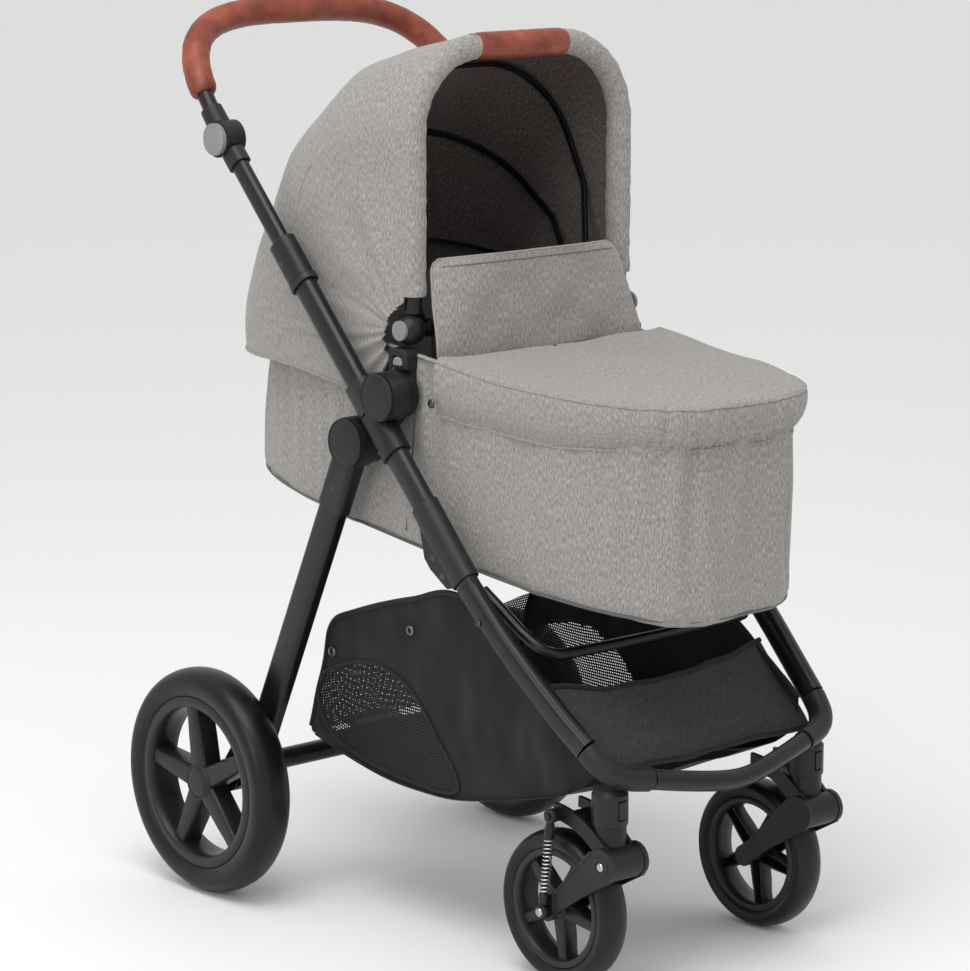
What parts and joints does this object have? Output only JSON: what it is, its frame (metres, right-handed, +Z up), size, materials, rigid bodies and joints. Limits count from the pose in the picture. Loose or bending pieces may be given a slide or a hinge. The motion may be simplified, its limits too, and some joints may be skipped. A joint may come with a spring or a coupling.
{
  "type": "baby stroller",
  "caption": "Folding baby stroller with a lift-off bassinet, folding canopy, foot cover, tilting handle, sprung swivel casters and a storage basket.",
  "frame": {"origin": "on the floor in the symmetry plane, 300 mm ahead of the rear axle", "axes": "+X across the stroller to its left-hand side as seen from the front, -Y towards the foot end and front casters, +Y towards the handle, +Z up"},
  "size_m": [0.567, 0.8501, 1.1189],
  "materials": {
    "black_tube": "satin",
    "grey_plastic": "satin",
    "black_plastic": "satin",
    "rim_plastic": "satin",
    "tyre_rubber": "matte",
    "button_grey": "satin",
    "brown_leather": "satin",
    "spring_steel": "polished",
    "pin_steel": "brushed",
    "grey_fabric": "matte",
    "black_fabric": "matte",
    "board": "matte",
    "mattress_fabric": "matte"
  },
  "bodies": {
    "chassis": {"front_tubes": "black_tube", "front_crossbar": "black_tube", "corner_joints": "grey_plastic", "caster_sockets": "grey_plastic", "hub_brackets": "grey_plastic", "lower_clamps": "grey_plastic", "support_bar": "black_tube", "basket": "black_fabric"},
    "upper_frame": {"fold_hubs": "grey_plastic", "upper_tubes": "black_tube", "telescope_collars": "grey_plastic"},
    "handle_slider": {"inner_tubes": "black_tube", "tilt_housings": "grey_plastic"},
    "handle": {"handle_tube": "black_tube", "tilt_heads": "grey_plastic", "handle_grip": "brown_leather"},
    "tilt_button_left": {"tilt_button_left": "button_grey"},
    "tilt_button_right": {"tilt_button_right": "button_grey"},
    "rear_frame": {"rear_legs": "black_tube", "leg_hubs": "grey_plastic", "rear_crossbar": "black_tube", "axle_brackets": "grey_plastic"},
    "brake_pedal": {"brake_pedal": "black_plastic"},
    "bassinet": {"bassinet_shell": "grey_fabric", "base_board": "board", "mattress": "mattress_fabric", "apron": "grey_fabric", "seat_adapters": "grey_plastic", "canopy_pivots": "pin_steel", "rear_rib": "black_plastic", "canopy_back": "grey_fabric"},
    "apron_flap": {"apron_flap": "grey_fabric"},
    "canopy_middle_2": {"middle_rib_2": "black_plastic", "canopy_gore_3": "grey_fabric"},
    "canopy_middle_1": {"middle_rib_1": "black_plastic", "canopy_gore_2": "grey_fabric"},
    "canopy_front": {"front_hoop": "black_tube", "canopy_joints": "grey_plastic", "canopy_gore_1": "grey_fabric", "carry_bar": "brown_leather"},
    "rear_wheel_left": {"rear_tyre_left": "tyre_rubber", "rear_rim_left": "rim_plastic"},
    "caster_left": {"caster_fork_left": "black_plastic", "caster_spring_left": "spring_steel"},
    "caster_arm_left": {"caster_arm_left": "grey_plastic"},
    "front_wheel_left": {"front_tyre_left": "tyre_rubber", "front_rim_left": "rim_plastic"},
    "adapter_button_left": {"adapter_button_left": "button_grey"},
    "canopy_button_left": {"canopy_button_left": "button_grey"},
    "caster_button_left": {"caster_button_left": "grey_plastic"},
    "rear_wheel_right": {"rear_tyre_right": "tyre_rubber", "rear_rim_right": "rim_plastic"},
    "caster_right": {"caster_fork_right": "black_plastic", "caster_spring_right": "spring_steel"},
    "caster_arm_right": {"caster_arm_right": "grey_plastic"},
    "front_wheel_right": {"front_tyre_right": "tyre_rubber", "front_rim_right": "rim_plastic"},
    "adapter_button_right": {"adapter_button_right": "button_grey"},
    "canopy_button_right": {"canopy_button_right": "button_grey"},
    "caster_button_right": {"caster_button_right": "grey_plastic"}
  },
  "joints": [
    {"name": "frame_fold", "type": "hinge", "parent": "chassis", "child": "upper_frame", "pos_m": [0, -0.00228, 0.67233], "axis": [1, 0, 0], "range_deg": [0, 150]},
    {"name": "handle_slide", "type": "slide", "parent": "upper_frame", "child": "handle_slider", "axis": [0, 0.6782, 0.7349], "range_m": [-0.09, 0.04]},
    {"name": "handle_tilt", "type": "hinge", "parent": "handle_slider", "child": "handle", "pos_m": [0, 0.30647, 0.95619], "axis": [1, 0, 0], "range_deg": [-45, 45]},
    {"name": "rear_leg_fold", "type": "hinge", "parent": "chassis", "child": "rear_frame", "pos_m": [0, 0.05751, 0.60899], "axis": [1, 0, 0], "range_deg": [-39, 0], "deforming": ["basket"]},
    {"name": "brake_press", "type": "hinge", "parent": "rear_frame", "child": "brake_pedal", "pos_m": [0, 0.226, 0.177], "axis": [1, 0, 0], "range_deg": [-18, 0]},
    {"name": "bassinet_lift", "type": "slide", "parent": "chassis", "child": "bassinet", "axis": [0, 0, 1], "range_m": [0, 0.15]},
    {"name": "flap_fold", "type": "hinge", "parent": "bassinet", "child": "apron_flap", "pos_m": [0, -0.042, 0.727], "axis": [1, 0, 0], "range_deg": [0, 78]},
    {"name": "canopy_fold", "type": "hinge", "parent": "bassinet", "child": "canopy_front", "pos_m": [0, 0, 0.748], "axis": [-1, 0, 0], "range_deg": [0, 50], "deforming": ["canopy_gore_1", "canopy_gore_2", "canopy_gore_3"]},
    {"name": "canopy_fold_middle_1", "type": "hinge", "parent": "bassinet", "child": "canopy_middle_1", "pos_m": [0, 0, 0.748], "axis": [-1, 0, 0], "range_deg": [0, 36]},
    {"name": "canopy_fold_middle_2", "type": "hinge", "parent": "bassinet", "child": "canopy_middle_2", "pos_m": [0, 0, 0.748], "axis": [-1, 0, 0], "range_deg": [0, 19]},
    {"name": "rear_wheel_spin_left", "type": "hinge", "parent": "rear_frame", "child": "rear_wheel_left", "pos_m": [-0.257, 0.3, 0.145], "axis": [1, 0, 0], "continuous": true},
    {"name": "caster_swivel_left", "type": "hinge", "parent": "chassis", "child": "caster_left", "pos_m": [-0.164, -0.34, 0.2], "axis": [0, 0, 1], "continuous": true},
    {"name": "caster_spring_travel_left", "type": "hinge", "parent": "caster_left", "child": "caster_arm_left", "pos_m": [-0.164, -0.355, 0.166], "axis": [1, 0, 0], "range_deg": [0, 4], "stiffness_Nm_per_rad": 120, "springref_deg": -3.44, "deforming": ["caster_spring_left"]},
    {"name": "front_wheel_spin_left", "type": "hinge", "parent": "caster_arm_left", "child": "front_wheel_left", "pos_m": [-0.164, -0.264, 0.093], "axis": [1, 0, 0], "continuous": true},
    {"name": "tilt_button_press_left", "type": "slide", "parent": "handle", "child": "tilt_button_left", "axis": [1, 0, 0], "range_m": [0, 0.003], "stiffness_N_per_m": 600, "springref_m": -0.002},
    {"name": "adapter_button_press_left", "type": "slide", "parent": "bassinet", "child": "adapter_button_left", "axis": [1, 0, 0], "range_m": [0, 0.0012], "stiffness_N_per_m": 600, "springref_m": -0.002},
    {"name": "canopy_button_press_left", "type": "slide", "parent": "canopy_front", "child": "canopy_button_left", "axis": [1, 0, 0], "range_m": [0, 0.003], "stiffness_N_per_m": 600, "springref_m": -0.002},
    {"name": "caster_button_press_left", "type": "slide", "parent": "chassis", "child": "caster_button_left", "axis": [0, 1, 0], "range_m": [0, 0.003], "stiffness_N_per_m": 600, "springref_m": -0.002},
    {"name": "rear_wheel_spin_right", "type": "hinge", "parent": "rear_frame", "child": "rear_wheel_right", "pos_m": [0.257, 0.3, 0.145], "axis": [1, 0, 0], "continuous": true},
    {"name": "caster_swivel_right", "type": "hinge", "parent": "chassis", "child": "caster_right", "pos_m": [0.164, -0.34, 0.2], "axis": [0, 0, 1], "continuous": true},
    {"name": "caster_spring_travel_right", "type": "hinge", "parent": "caster_right", "child": "caster_arm_right", "pos_m": [0.164, -0.355, 0.166], "axis": [1, 0, 0], "range_deg": [0, 4], "stiffness_Nm_per_rad": 120, "springref_deg": -3.44, "deforming": ["caster_spring_right"]},
    {"name": "front_wheel_spin_right", "type": "hinge", "parent": "caster_arm_right", "child": "front_wheel_right", "pos_m": [0.164, -0.264, 0.093], "axis": [1, 0, 0], "continuous": true},
    {"name": "tilt_button_press_right", "type": "slide", "parent": "handle", "child": "tilt_button_right", "axis": [-1, 0, 0], "range_m": [0, 0.003], "stiffness_N_per_m": 600, "springref_m": -0.002},
    {"name": "adapter_button_press_right", "type": "slide", "parent": "bassinet", "child": "adapter_button_right", "axis": [-1, 0, 0], "range_m": [0, 0.0012], "stiffness_N_per_m": 600, "springref_m": -0.002},
    {"name": "canopy_button_press_right", "type": "slide", "parent": "canopy_front", "child": "canopy_button_right", "axis": [-1, 0, 0], "range_m": [0, 0.003], "stiffness_N_per_m": 600, "springref_m": -0.002},
    {"name": "caster_button_press_right", "type": "slide", "parent": "chassis", "child": "caster_button_right", "axis": [0, 1, 0], "range_m": [0, 0.003], "stiffness_N_per_m": 600, "springref_m": -0.002}
  ],
  "couplings": [
    {"joint": "rear_leg_fold", "follows": "frame_fold", "ratio": -0.25},
    {"joint": "canopy_fold_middle_1", "follows": "canopy_fold", "ratio": 0.7},
    {"joint": "canopy_fold_middle_2", "follows": "canopy_fold", "ratio": 0.36}
  ]
}
